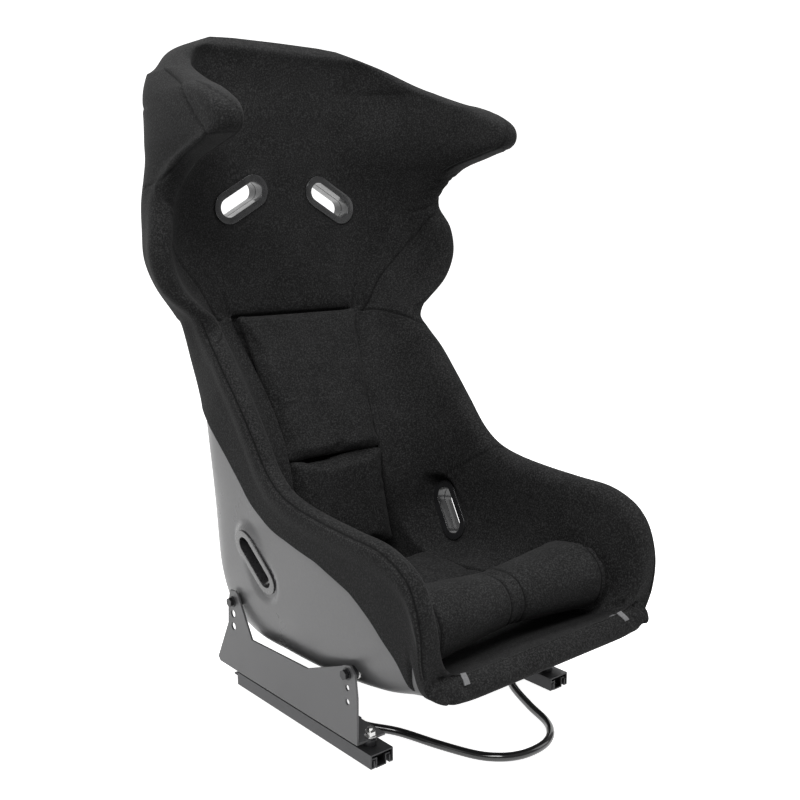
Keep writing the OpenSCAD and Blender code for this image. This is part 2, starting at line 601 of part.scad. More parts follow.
color("dimgray") lower_rail(1);  // lower_rail_left
color("dimgray") lower_rail(-1);  // lower_rail_right
color("beige") ball_cage(1);  // ball_cage_left
color("beige") ball_cage(-1);  // ball_cage_right
color("silver") bearing_balls(1);  // bearing_balls_left
color("silver") bearing_balls(-1);  // bearing_balls_right
color("dimgray") upper_rail(1);  // upper_rail_left
color("dimgray") upper_rail(-1);  // upper_rail_right
rail_studs();
spacer_washers();
flange_nuts();
color("dimgray") side_bracket(1);  // side_bracket_left
color("dimgray") side_bracket(-1);  // side_bracket_right
side_bolts();
bolt_washers();
shell_spacers();
shell_inserts();
shell();
front_trim();
pan_trim();
hip_trim();
back_trim();
shoulder_trim();
head_trim();
edge_roll();
outer_trim(1);  // outer_trim_left
outer_trim(-1);  // outer_trim_right
seat_pad();
thigh_roll(1);  // thigh_roll_left
thigh_roll(-1);  // thigh_roll_right
lower_back_pad();
upper_back_pad();
webbing_tabs();
shoulder_bezels_front();
shoulder_bezels_rear();
lap_bezels_inner();
lap_bezels_outer();
latch_lugs();
pivot_pins();
release_bar();
latch_plates();
latch_springs();
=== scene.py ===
import math

import bmesh
import bpy
import numpy as np
from mathutils import Matrix, Vector
from mathutils.bvhtree import BVHTree
from mathutils.kdtree import KDTree


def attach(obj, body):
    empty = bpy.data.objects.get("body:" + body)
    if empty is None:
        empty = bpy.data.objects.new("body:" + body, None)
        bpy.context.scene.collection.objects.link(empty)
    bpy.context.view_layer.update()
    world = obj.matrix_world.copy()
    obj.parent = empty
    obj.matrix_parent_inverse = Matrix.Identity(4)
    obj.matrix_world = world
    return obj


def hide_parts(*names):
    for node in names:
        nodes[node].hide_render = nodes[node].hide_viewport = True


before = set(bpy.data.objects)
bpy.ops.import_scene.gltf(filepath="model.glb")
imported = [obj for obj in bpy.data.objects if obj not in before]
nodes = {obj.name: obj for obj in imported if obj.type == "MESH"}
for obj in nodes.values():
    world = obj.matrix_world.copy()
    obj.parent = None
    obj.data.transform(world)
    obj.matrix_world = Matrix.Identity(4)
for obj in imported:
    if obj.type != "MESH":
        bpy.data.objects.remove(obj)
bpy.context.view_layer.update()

scene = bpy.context.scene

# --- studio -----------------------------------------------------------------
# A pale floor that runs up into a pale wall, with soft lights from the upper
# left, the right, above and the left side. The camera stands in front of the
# occupant's right, at about shoulder height.


def shader_node(tree, kind, **settings):
    """A new shader node with these properties and input values."""
    node = tree.nodes.new("ShaderNode" + kind)
    for key, value in settings.items():
        if hasattr(node, key):
            setattr(node, key, value)
        else:
            node.inputs[key.replace("_", " ")].default_value = value
    return node


def set_skin(material, **settings):
    """Sets values that are the same all over a material on its shader."""
    skin = material.node_tree.nodes["Principled BSDF"]
    for key, value in settings.items():
        skin.inputs[key.replace("_", " ")].default_value = value


def new_piece(name, form):
    """A new object in the scene from a finished form."""
    mesh = bpy.data.meshes.new(name)
    form.to_mesh(mesh)
    form.free()
    made = bpy.data.objects.new(name, mesh)
    scene.collection.objects.link(made)
    return made


SWEEP_LINE = [(-6.0, 0.0), (2.4, 0.0), (3.2, 0.06), (3.9, 0.3), (4.4, 0.8), (4.6, 1.5), (4.6, 7.0)]
SWEEP_HALF = 25
FLOOR_DROP = 0.0006
sweep = bmesh.new()
sweep_rows = [[sweep.verts.new((x, y, z - FLOOR_DROP)) for x in (-SWEEP_HALF, SWEEP_HALF)]
              for y, z in SWEEP_LINE]
for lower, upper in zip(sweep_rows, sweep_rows[1:]):
    sweep.faces.new((lower[0], lower[1], upper[1], upper[0])).smooth = True
studio_floor = new_piece("studio_floor", sweep)
pale_floor = bpy.data.materials.new("pale_floor")
pale_floor.use_nodes = True
set_skin(pale_floor, Base_Color=(0.9, 0.9, 0.9, 1), Roughness=0.6, Emission_Color=(1, 1, 1, 1),
         Emission_Strength=0.95)
studio_floor.data.materials.append(pale_floor)
studio_floor.visible_diffuse = False

world = bpy.data.worlds.new("studio_air")
world.use_nodes = True
world.node_tree.nodes["Background"].inputs["Color"].default_value = (1, 1, 1, 1)
world.node_tree.nodes["Background"].inputs["Strength"].default_value = 0.25
scene.world = world
scene.view_settings.view_transform = "Standard"


def soft_light(name, place, aim, size, power):
    """An oblong area light that faces a point."""
    lamp = bpy.data.lights.new(name, "AREA")
    lamp.shape, lamp.size, lamp.size_y, lamp.energy = "RECTANGLE", size[0], size[1], power
    made = bpy.data.objects.new(name, lamp)
    made.location = place
    made.rotation_euler = (Vector(aim) - Vector(place)).to_track_quat("-Z", "Y").to_euler()
    scene.collection.objects.link(made)


soft_light("key_light", (-1.6, -1.5, 2.6), (0, 0, 0.5), (1.5, 1.1), 58)
soft_light("fill_light", (2.4, -1.6, 1.6), (0, 0, 0.5), (1.6, 1.8), 14)
soft_light("top_light", (0.2, 0.3, 3.0), (0, 0, 0.4), (1.8, 1.4), 40)
soft_light("side_light", (-2.8, 0.6, 1.1), (-0.2, 0, 0.4), (1.0, 1.6), 4)

CAMERA_TURN = math.radians(-39.963)
CAMERA_RISE = math.radians(9.888)
CAMERA_ROLL = math.radians(-0.352)
CAMERA_PLACE = (-0.9598, -1.1448, 0.7133)
CAMERA_LENS = 45.857
back = Vector((math.sin(CAMERA_TURN) * math.cos(CAMERA_RISE), -math.cos(CAMERA_TURN) * math.cos(CAMERA_RISE),
               math.sin(CAMERA_RISE)))
right = Vector((math.cos(CAMERA_TURN), math.sin(CAMERA_TURN), 0))
up = back.cross(right)
lens_right = right * math.cos(CAMERA_ROLL) + up * math.sin(CAMERA_ROLL)
lens_up = up * math.cos(CAMERA_ROLL) - right * math.sin(CAMERA_ROLL)
camera_data = bpy.data.cameras.new("camera")
camera_data.lens = CAMERA_LENS
camera = bpy.data.objects.new("camera", camera_data)
camera.matrix_world = Matrix([*zip(lens_right, lens_up, back, CAMERA_PLACE), (0, 0, 0, 1)])
scene.collection.objects.link(camera)
scene.camera = camera

# --- floor rails ------------------------------------------------------------
# Two rolled steel rails bolted to the car floor, phosphated black and oiled.
# Their inner ledges are notched for the latch.


def shader_group(name, takes, gives):
    """A new node group with these inputs and outputs, and its two end nodes."""
    tree = bpy.data.node_groups.new(name, "ShaderNodeTree")
    for label, value in takes:
        kind = "NodeSocketColor" if isinstance(value, tuple) else "NodeSocketFloat"
        tree.interface.new_socket(label, in_out="INPUT", socket_type=kind).default_value = value
    for label, kind in gives:
        tree.interface.new_socket(label, in_out="OUTPUT", socket_type="NodeSocket" + kind)
    return tree, tree.nodes.new("NodeGroupInput"), tree.nodes.new("NodeGroupOutput")


def maths(tree, operation, a, b):
    """Two values, joined by a sum; either may be a plain number."""
    node = tree.nodes.new("ShaderNodeMath")
    node.operation = operation
    for slot, value in zip(node.inputs, (a, b)):
        if isinstance(value, (int, float)):
            slot.default_value = value
        else:
            tree.links.new(value, slot)
    return node.outputs[0]


def weighed(tree, *parts):
    """The sum of several values, each given with its weight."""
    total = None
    for value, weight in parts:
        part = maths(tree, "MULTIPLY", value, weight)
        total = part if total is None else maths(tree, "ADD", total, part)
    return total


def spread(tree, value, low, high):
    """A noise value drawn out so that its middle part runs from low to high."""
    node = tree.nodes.new("ShaderNodeMapRange")
    tree.links.new(value, node.inputs["Value"])
    for label, number in (("From Min", 0.3), ("From Max", 0.7), ("To Min", low), ("To Max", high)):
        if isinstance(number, (int, float)):
            node.inputs[label].default_value = number
        else:
            tree.links.new(number, node.inputs[label])
    return node.outputs["Result"]


def blended(tree, share, group_in, group_out):
    """Sends a group's two colours, mixed by share, to its colour output."""
    blend = shader_node(tree, "Mix", data_type="RGBA")
    tree.links.new(share, blend.inputs[0])
    tree.links.new(group_in.outputs[0], blend.inputs[6])
    tree.links.new(group_in.outputs[1], blend.inputs[7])
    tree.links.new(blend.outputs[2], group_out.inputs["Colour"])


# Uneven coat: cloudy patches over a fine grain, for colour, gloss and height
coat_group, coat_in, coat_out = shader_group(
    "uneven_coat",
    [("Colour", (0.1, 0.1, 0.1, 1)), ("Patch Colour", (0.2, 0.2, 0.2, 1)), ("Patch Scale", 20.0),
     ("Grain Scale", 900.0), ("Gloss Low", 0.3), ("Gloss High", 0.5), ("Patch Share", 0.5)],
    [("Colour", "Color"), ("Roughness", "Float"), ("Height", "Float")])
place = coat_group.nodes.new("ShaderNodeTexCoord").outputs["Object"]
patch = shader_node(coat_group, "TexNoise", Detail=4.0, Roughness=0.6)
grain = shader_node(coat_group, "TexNoise", Detail=2.0, Roughness=0.5)
for texture, label in ((patch, "Patch Scale"), (grain, "Grain Scale")):
    coat_group.links.new(place, texture.inputs["Vector"])
    coat_group.links.new(coat_in.outputs[label], texture.inputs["Scale"])
cloud = spread(coat_group, patch.outputs["Fac"], 0, 1)
speck = spread(coat_group, grain.outputs["Fac"], 0, 1)
share = maths(coat_group, "MULTIPLY", weighed(coat_group, (cloud, 0.7), (speck, 0.3)),
              coat_in.outputs["Patch Share"])
blended(coat_group, share, coat_in, coat_out)
coat_group.links.new(spread(coat_group, patch.outputs["Fac"], coat_in.outputs["Gloss Low"],
                            coat_in.outputs["Gloss High"]), coat_out.inputs["Roughness"])
coat_group.links.new(weighed(coat_group, (grain.outputs["Fac"], 0.4), (patch.outputs["Fac"], 0.6)),
                     coat_out.inputs["Height"])


def grouped(name, group_tree, takes, bump, depth):
    """A material whose colour, gloss and relief come from a node group."""
    made = bpy.data.materials.new(name)
    made.use_nodes = True
    tree = made.node_tree
    skin = tree.nodes["Principled BSDF"]
    group = tree.nodes.new("ShaderNodeGroup")
    group.node_tree = group_tree
    for label, value in takes:
        group.inputs[label].default_value = value
    tree.links.new(group.outputs["Colour"], skin.inputs["Base Color"])
    tree.links.new(group.outputs["Roughness"], skin.inputs["Roughness"])
    dent = shader_node(tree, "Bump", Strength=bump, Distance=depth)
    tree.links.new(group.outputs["Height"], dent.inputs["Height"])
    tree.links.new(dent.outputs["Normal"], skin.inputs["Normal"])
    return made


def coated(name, colour, patch_colour, gloss, metallic=0.0, patch_scale=20.0, grain_scale=900.0, share=0.5,
           bump=0.1, depth=0.0003, coat=0.0):
    """A hard finish: a base colour with patches of another, and a range of gloss."""
    takes = [("Colour", (*colour, 1)), ("Patch Colour", (*patch_colour, 1)), ("Patch Scale", patch_scale),
             ("Grain Scale", grain_scale), ("Gloss Low", gloss[0]), ("Gloss High", gloss[1]),
             ("Patch Share", share)]
    made = grouped(name, coat_group, takes, bump, depth)
    set_skin(made, Metallic=metallic, Coat_Weight=coat)
    return made


def paint(piece, material):
    piece.data.materials.clear()
    piece.data.materials.append(material)


def shade_smooth(piece):
    for face in piece.data.polygons:
        face.use_smooth = True


EDGE_ANGLE = math.radians(32)


def eased(node, width):
    """Rounds a hard part's sharp edges a little, so that they catch light."""
    piece = nodes[node]
    weld = piece.modifiers.new("weld", "WELD")
    weld.merge_threshold = 0.00001
    ease = piece.modifiers.new("ease", "BEVEL")
    ease.width, ease.segments, ease.limit_method = width, 2, "ANGLE"
    ease.angle_limit = EDGE_ANGLE
    ease.harden_normals = False
    even = piece.modifiers.new("even", "WEIGHTED_NORMAL")
    even.keep_sharp = True
    shade_smooth(piece)
    return piece


rail_steel = coated("rail_steel", (0.022, 0.022, 0.024), (0.06, 0.06, 0.062), (0.32, 0.5), metallic=0.55,
                    patch_scale=45, grain_scale=700, share=0.6, bump=0.12, depth=0.0002)
for side in ("left", "right"):
    paint(eased("lower_rail_" + side, 0.0003), rail_steel)

# --- ball cages -------------------------------------------------------------
# A nylon strip on each ledge spaces the steel balls that the seat runs on.
# The strips roll along at half the seat's travel.
nylon = coated("nylon", (0.6, 0.55, 0.42), (0.5, 0.45, 0.34), (0.4, 0.55), patch_scale=80, bump=0.05)
ball_steel = coated("ball_steel", (0.7, 0.7, 0.7), (0.6, 0.6, 0.6), (0.08, 0.16), metallic=1.0, bump=0.0)
for side in ("left", "right"):
    paint(nodes["ball_cage_" + side], nylon)
    paint(nodes["bearing_balls_" + side], ball_steel)
    shade_smooth(nodes["bearing_balls_" + side])

# --- moving rails -----------------------------------------------------------
# Folded steel channels that hook round the floor rails and carry the seat.
# Same black phosphate as the floor rails, rubbed a little brighter.
slider_steel = coated("slider_steel", (0.028, 0.028, 0.03), (0.085, 0.085, 0.088), (0.28, 0.46), metallic=0.6,
                      patch_scale=30, grain_scale=600, share=0.55, bump=0.12, depth=0.0002)
for side in ("left", "right"):
    paint(eased("upper_rail_" + side, 0.0004), slider_steel)

# --- studs, washers and nuts ------------------------------------------------
# Four weld studs stand up through the moving rails. Black spacer washers lift
# the brackets off them, and zinc plated flange nuts clamp the brackets down.
zinc = coated("zinc_plate", (0.62, 0.62, 0.61), (0.5, 0.5, 0.5), (0.16, 0.32), metallic=1.0, patch_scale=160,
              grain_scale=1500, bump=0.08)
paint(eased("rail_studs", 0.0005), zinc)
paint(eased("flange_nuts", 0.0005), zinc)
paint(eased("spacer_washers", 0.0004), slider_steel)

# --- side brackets ----------------------------------------------------------
# Folded 3 mm steel plates with two columns of height holes, in a satin dark
# grey powder coat. Each is bolted to the shell's side and to a moving rail.
powder_coat = coated("powder_coat", (0.085, 0.085, 0.087), (0.115, 0.115, 0.118), (0.38, 0.5), metallic=0.35,
                     patch_scale=12, grain_scale=1400, share=0.6, bump=0.1, depth=0.00015)
for side in ("left", "right"):
    paint(eased("side_bracket_" + side, 0.0005), powder_coat)

# --- side bolts -------------------------------------------------------------
# Black M8 hexagon bolts with washers run through bracket and spacer into steel
# inserts bonded into the shell.
black_oxide = coated("black_oxide", (0.014, 0.014, 0.015), (0.05, 0.05, 0.052), (0.25, 0.42), metallic=0.6,
                     patch_scale=120, grain_scale=1500, share=0.5, bump=0.1, depth=0.0001)
for node in ("side_bolts", "bolt_washers", "shell_spacers"):
    paint(eased(node, 0.0005), black_oxide)
paint(eased("shell_inserts", 0.0003), zinc)

# --- shell ------------------------------------------------------------------
# The seat's one-piece glass-fibre moulding, about 4.5 mm thick, with a satin
# grey gel coat outside. It is pierced for the belts, and everything bolts to it.

# One row for each section of the bucket, from the front lip to the top of the
# head, in mm: trim spine y and z, half of its floor, rise of the pad recess,
# foot of the wall and its curve, the same for the shell, rim x, y, z and radius.
SECTIONS = np.array([
    [-298, 156, 120, 0, 150, 0.4, -300, 140, 124, 170, 0.3, 192, -297, 156, 18],
    [-292, 162, 145, 0, 168, 0.4, -290, 135, 149, 182, 0.3, 207, -299, 189, 18],
    [-275, 157, 158, 0, 182, 0.4, -270, 129, 154, 190, 0.3, 212, -297, 237, 18],
    [-235, 148, 160, 0, 186, 0.35, -232, 121, 155, 194, 0.28, 213, -275, 285, 18],
    [-180, 132, 158, 0.04, 186, 0.3, -180, 107, 158, 194, 0.24, 213, -225, 310, 18],
    [-110, 122, 138, 0.2, 184, 0.3, -110, 97, 162, 194, 0.24, 212, -160, 315, 18],
    [-30, 120, 131, 0.26, 183, 0.3, -30, 89, 162, 194, 0.24, 211, -95, 320, 18],
    [50, 120, 131, 0.24, 181, 0.3, 50, 87, 162, 194, 0.24, 210, -35, 328, 18],
    [120, 126, 131, 0.2, 178, 0.3, 130, 90, 163, 197, 0.24, 208, 10, 342, 18],
    [170, 150, 114, 0.28, 168, 0.35, 196, 112, 160, 198, 0.22, 206, 45, 368, 18],
    [192, 200, 95, 0.42, 148, 0.4, 220, 165, 164, 203, 0.22, 204, 77, 408, 18],
    [200, 275, 92, 0.45, 138, 0.4, 226, 262, 164, 205, 0.22, 203, 112, 450, 18],
    [213, 350, 95, 0.42, 134, 0.4, 236, 345, 160, 205, 0.25, 203, 148, 490, 18],
    [240, 430, 103, 0.37, 136, 0.4, 260, 425, 150, 199, 0.3, 200, 180, 520, 18],
    [270, 500, 113, 0.3, 150, 0.4, 292, 495, 140, 200, 0.35, 199, 204, 545, 18],
    [290, 554, 121, 0.2, 165, 0.35, 308, 554, 135, 209, 0.4, 206, 208, 568, 18],
    [278, 570, 118, 0, 175, 0.3, 310, 570, 133, 220, 0.4, 217, 206, 580, 18],
    [280, 615, 115, 0, 200, 0.3, 314, 615, 128, 240, 0.4, 258, 207, 616, 18],
    [284, 660, 110, 0, 222, 0.3, 318, 660, 120, 260, 0.4, 276, 205, 660, 18],
    [287, 705, 105, 0, 225, 0.3, 322, 705, 115, 264, 0.4, 272, 209, 705, 18],
    [289, 748, 95, 0, 215, 0.3, 325, 748, 105, 266, 0.35, 257, 225, 750, 18],
    [290, 785, 85, 0, 210, 0.3, 327, 785, 100, 270, 0.3, 253, 170, 797, 19],
    [291, 815, 75, 0, 205, 0.3, 329, 815, 95, 273, 0.28, 254, 97, 820, 20],
    [292, 840, 72, 0, 206, 0.3, 330, 840, 92, 273, 0.26, 255, 50, 836, 20],
    [293, 862, 72, 0, 204, 0.3, 331, 862, 90, 272, 0.26, 255, 51, 864, 20],
    [294, 887, 74, 0, 200, 0.3, 332, 887, 88, 268, 0.26, 250, 96, 890, 20],
    [296, 916, 80, 0, 196, 0.3, 333, 916, 88, 260, 0.28, 239, 152, 910, 19],
    [298, 944, 88, 0, 188, 0.35, 334, 944, 90, 246, 0.32, 226, 212, 934, 18],
    [300, 968, 95, 0, 160, 0.4, 334, 968, 95, 225, 0.4, 206, 260, 961, 18],
    [304, 984, 100, 0, 140, 0.4, 333, 984, 100, 185, 0.4, 178, 285, 979, 17],
    [307, 994, 100, 0, 115, 0.3, 331, 994, 100, 130, 0.4, 146, 295, 986, 17]], float)
TOP = len(SECTIONS) - 1
SHELL_THICK = 4.5
RIM_REACH = 9.0


def smooth_row(rows, u):
    """The row at share u along a list of rows, on a smooth curve through them all."""
    i = min(int(u), len(rows) - 2)
    t = u - i
    a, b, c, d = (rows[min(max(k, 0), len(rows) - 1)] for k in (i - 1, i, i + 1, i + 2))
    return b + 0.5 * t * ((c - a) + t * (2 * a - 5 * b + 4 * c - d + t * (3 * (b - c) + d - a)))


def wall_curve(start, foot, lean, end, count):
    """Points (across, up) of a wall from the floor's edge over its foot to the rim."""
    j = np.linspace(0, 1, count)[:, None]
    a, b, d = np.array(start), np.array([foot, start[1]]), np.array(end)
    c = b + (d - b) * lean
    i = 1 - j
    return i**3 * a + 3 * i * i * j * b + 3 * i * j * j * c + j**3 * d


def even_points(line, count):
    """The same line with its points spaced evenly."""
    run = np.concatenate([[0], np.cumsum(np.linalg.norm(np.diff(line, axis=0), axis=1))])
    at = np.linspace(0, run[-1], count)
    return np.stack([np.interp(at, run, line[:, k]) for k in range(line.shape[1])], 1)


def section_plane(u):
    """Origin and direction of the plane of a section, and how far up it the rim's centre is."""
    s = smooth_row(SECTIONS, u)
    origin, rim = np.array([s[6], s[7]]), np.array([s[12], s[13]])
    rise = np.linalg.norm(rim - origin)
    return s, origin, (rim - origin) / rise, rise


def shell_profile(u, grow):
    """Half of the shell's outline, from the middle of its back to the rim, moved out by grow."""
    s, origin, aim, rise = section_plane(u)
    wall = wall_curve((s[8], -grow), s[9] + grow, s[10], (s[11] + RIM_REACH + grow, rise), 40)
    floor = np.stack([np.linspace(0, s[8], 20), np.full(20, -grow)], 1)[:-1]
    return np.concatenate([floor, wall])


def in_space(u, flat):
    """Points (across, up) of a section as points of the seat."""
    s, origin, aim, rise = section_plane(u)
    return np.stack([flat[:, 0], origin[0] + flat[:, 1] * aim[0], origin[1] + flat[:, 1] * aim[1]], 1)


def sheet_mesh(name, grid, keep=None, closed=False):
    """A mesh from a grid of points in mm; keep says which faces stay."""
    rows, columns = grid.shape[:2]
    index = np.arange(rows * columns).reshape(rows, columns)
    last = columns if closed else columns - 1
    quads = np.stack([index[:-1, :last], index[1:, :last], np.roll(index, -1, 1)[1:, :last],
                      np.roll(index, -1, 1)[:-1, :last]], -1)
    if keep is not None:
        quads = quads[keep[:, :last]]
    mesh = bpy.data.meshes.new(name)
    mesh.from_pydata((grid.reshape(-1, 3) / 1000).tolist(), [], quads.reshape(-1, 4).tolist())
    mesh.polygons.foreach_set("use_smooth", np.ones(len(mesh.polygons), bool))
    made = bpy.data.objects.new(name, mesh)
    scene.collection.objects.link(made)
    return made


def tidy_mesh(piece, weld=0.00002):
    """Joins points that lie together and drops loose ones."""
    form = bmesh.new()
    form.from_mesh(piece.data)
    bmesh.ops.remove_doubles(form, verts=form.verts, dist=weld)
    bmesh.ops.delete(form, geom=[v for v in form.verts if not v.link_faces], context="VERTS")
    bmesh.ops.recalc_face_normals(form, faces=form.faces)
    form.to_mesh(piece.data)
    form.free()


# Belt slots: middle of each opening, its lean, and half of its straight part and
# of its height
SHOULDER_MIDDLE, SHOULDER_LEAN = (87.0, 751.0), math.radians(-30)
LAP_MIDDLE, LAP_LEAN = (85.0, 226.0), math.radians(52)
SLOT_HALF = np.array([27.0, 15.0])
SLOT_MARGIN = 1


def past_slot(across, up, middle, lean):
    """How far points lie outside a belt slot's round-ended outline, seen flat."""
    a, b = across - middle[0], up - middle[1]
    along = a * math.cos(lean) + b * math.sin(lean)
    aside = b * math.cos(lean) - a * math.sin(lean)
    return np.hypot(np.maximum(np.abs(along) - SLOT_HALF[0], 0), aside) - SLOT_HALF[1]


def in_slot(points, grow):
    """True for points inside a belt slot's outline grown by so many mm."""
    x, y, z = np.abs(points[..., 0]), points[..., 1], points[..., 2]
    shoulder = past_slot(x, z, SHOULDER_MIDDLE, SHOULDER_LEAN) < grow
    lap = past_slot(y, z, LAP_MIDDLE, LAP_LEAN) < grow
    return (shoulder & (y > 240)) | (lap & (x > 150) & (z < 330))


# Where each slot's frames sit: centre, directions along, across and outward, and
# how far outward from the centre the face under the inner and outer frame lies
LAP_SEAT = (np.array([205.0, 85, 226]), np.array([0.164, 0.616, 0.771]), np.array([0.128, -0.788, 0.602]),
            np.array([0.978, 0, -0.208]), -26.0, 0.8)
SHOULDER_SEAT = (np.array([87.0, 300, 751]), np.array([0.866, 0, -0.5]), np.array([0.5, 0, 0.866]),
                 np.array([0.0, 1, 0]), -11.3, 23.6)
# The pressed face reaches this far past the opening, fades over the last stretch,
# and takes only skin that is near it
SEAT_REACH = 22
SEAT_FADE = 9
SEAT_DEEPEST = 38


def seated(points, inner):
    """Points near a slot frame pressed flat to the face that the frame sits on."""
    done = np.array(points)
    for centre, e1, e2, out, low, high in (LAP_SEAT, SHOULDER_SEAT):
        for hand in (1, -1):
            turn = np.array([hand, 1, 1])
            gap = done * turn - centre
            past = np.hypot(np.maximum(np.abs(gap @ e1) - SLOT_HALF[0], 0), gap @ e2) - SLOT_HALF[1]
            level = low if inner else high
            off = level - gap @ out
            hold = np.clip((SEAT_REACH - past) / SEAT_FADE, 0, 1)
            hold = hold * hold * (3 - 2 * hold) * (np.abs(off) < SEAT_DEEPEST)
            done = done + (hold * off)[..., None] * out * turn
    return done


def faces_clear(grid):
    """True for faces of a grid that keep clear of the belt slots."""
    inside = in_slot(grid, SLOT_MARGIN)
    return ~(inside[:-1, :] | inside[1:, :] | np.roll(inside, -1, 1)[:-1, :] | np.roll(inside, -1, 1)[1:, :])


# The moulding shows between these sections; past them the cover wraps it whole
SHELL_FROM, SHELL_TO, SHELL_ROWS, SHELL_POINTS = 2.1, 25.5, 211, 84
shell_rows = []
for u in np.linspace(SHELL_FROM, SHELL_TO, SHELL_ROWS):
    outer = seated(in_space(u, even_points(shell_profile(u, 0), SHELL_POINTS)), False)
    inner = in_space(u, even_points(shell_profile(u, -SHELL_THICK), SHELL_POINTS))
    half = np.concatenate([outer, inner[::-1]])
    mirror = half[::-1] * [-1, 1, 1]
    shell_rows.append(np.concatenate([half, mirror]))
shell_grid = np.array(shell_rows)
shell_skin = sheet_mesh("shell_moulding", shell_grid, faces_clear(shell_grid), closed=True)
tidy_mesh(shell_skin)
gel_coat = coated("gel_coat", (0.085, 0.085, 0.087), (0.13, 0.13, 0.133), (0.24, 0.42), patch_scale=7,
                  grain_scale=260, share=0.8, bump=0.06, depth=0.0012)
paint(shell_skin, gel_coat)
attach(shell_skin, "seat")
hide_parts("shell")

# --- covers -----------------------------------------------------------------
# Cut foam lines the shell under two sewn covers of dark felted knit: one over
# the pan and hips, one over shoulders and head. Both turn over the rim, are
# top-stitched along it, and end in a hem glued to the outside of the shell.

# How far the cover's skin lies off the outside of the shell, and how much further
# at the head wings
COVER_LIFT = 4.5
WING_LIFT = 7
# How far the cover reaches down the outside of the shell, as (section, mm)
HEM = np.array([(0, 900), (2.2, 900), (2.6, 150), (3.15, 112), (3.8, 97), (4.85, 54), (5.95, 36), (7, 33),
                (8.45, 38), (10, 55), (12.4, 88), (13.5, 108), (14.5, 125), (15.5, 140), (17, 150), (19, 150),
                (20.5, 175), (22, 270), (23.5, 330), (24.6, 380), (25.6, 900), (30, 900)], float)
# How often the outline's corners are eased, as (section, times)
EASING = np.array([(1.5, 6), (4, 36), (15, 50), (21, 50), (22.5, 26), (27, 26), (29, 40)], float)
# Lift of the cover's floor over the shell where the padding is thicker at the ends
FLOOR_LIFT = {0: 28.0, 1: 30.0, 2: 31.0, 28: 37.0, 29: 40.0, 30: 43.0}
COUNTS = dict(floor=16, step=8, wall=56, roll=26, outside=66)
WALL_START = COUNTS["floor"] + COUNTS["step"]
ROLL_START = WALL_START + COUNTS["wall"]
ROWS_A_SECTION = 14


def floor_lift(i):
    """How far the cover's floor lies above the shell's, up the section's plane."""
    s, origin, aim, rise = section_plane(i)
    return FLOOR_LIFT.get(i, float(np.dot(np.array([s[0], s[1]]) - origin, aim)))


def recess_lift(i):
    """How deep the loose pads' recess is."""
    s = SECTIONS[i]
    return s[3] * math.hypot(s[12] - s[0], s[13] - s[1])


def at_wing(u, middle, width):
    """1 at the middle of the head wing, falling to 0 past so many sections."""
    return math.exp(-((u - middle) / width) ** 4)


lifts = np.array([[floor_lift(i), recess_lift(i)] for i in range(TOP + 1)])


def cover_profile(u):
    """Half of the cover's outline (across, up), from the middle of its floor over the rim to its hem."""
    s, origin, aim, rise = section_plane(u)
    low, step = smooth_row(lifts, u)
    step = max(step, 0)
    radius = s[14] + 3.5 * at_wing(u, 23.3, 2.2) + np.interp(u, [2, 4, 21, 22], [0, 2.2, 2.2, 1])
    box = 2 + 1.3 * at_wing(u, 23.3, 2.3)
    begin = math.pi
    for _ in range(12):
        end = (s[11] + radius * math.cos(begin), rise + radius * math.sin(begin))
        lean = (end[0] - s[4], end[1] - low - step)
        begin = math.atan2(lean[0], -lean[1]) if lean[0] > 0 else math.pi
    angles = np.linspace(begin, math.radians(-12), 60)
    cos, sin = np.cos(angles), np.sin(angles)
    roll = np.stack([s[11] + radius * np.sign(cos) * np.abs(cos) ** (2 / box),
                     rise + radius * np.sign(sin) * np.abs(sin) ** (2 / box)], 1)
    wall = wall_curve((s[2], low + step), s[4], s[5], roll[0], 60)
    floor = np.stack([np.linspace(0, s[2] - 1.5, 20), np.full(20, low)], 1)
    rise_up = np.stack([np.linspace(s[2] - 1.5, s[2], 12), low + step * np.linspace(0, 1, 12)], 1)
    outside = shell_profile(u, COVER_LIFT + WING_LIFT * at_wing(u, 24.2, 2.4))[::-1]
    outside = outside[outside[:, 1] < rise - 7] if rise > 20 else outside[3:]
    run = np.concatenate([[0], np.cumsum(np.linalg.norm(np.diff(outside, axis=0), axis=1))])
    reach = min(np.interp(u, HEM[:, 0], HEM[:, 1]), run[-1])
    outside = np.stack([np.interp(np.linspace(0, reach, 90), run, outside[:, k]) for k in (0, 1)], 1)
    parts = [even_points(floor, COUNTS["floor"]), even_points(rise_up, COUNTS["step"]),
             even_points(wall, COUNTS["wall"]), even_points(roll, COUNTS["roll"]),
             even_points(outside, COUNTS["outside"])]
    line = np.concatenate(parts)
    for _ in range(int(np.interp(u, EASING[:, 0], EASING[:, 1]))):
        ease = (line[:-2] + 2 * line[1:-1] + line[2:]) / 4
        line[WALL_START + 1:-1] = ease[WALL_START:]
    return line


main_u = np.linspace(0, TOP, TOP * ROWS_A_SECTION + 1)
cover_half = np.array([in_space(u, cover_profile(u)) for u in main_u])
CAP_ROWS = 9


def cap_rows(loop, thick_from, aim):
    """Rows that close a section's end with a half-round edge."""
    made = []
    middle_x = np.minimum(loop[:, 0], np.abs(loop[:, 0]).max() - thick_from)
    front, rear = loop[0], loop[-1]
    middle = np.stack([middle_x, np.full(len(loop), (front[1] + rear[1]) / 2),
                       np.full(len(loop), (front[2] + rear[2]) / 2)], 1)
    for k in range(1, CAP_ROWS + 1):
        angle = math.pi / 2 * k / CAP_ROWS
        made.append(middle + (loop - middle) * math.cos(angle) + np.array([0, *aim]) * math.sin(angle))
    return made


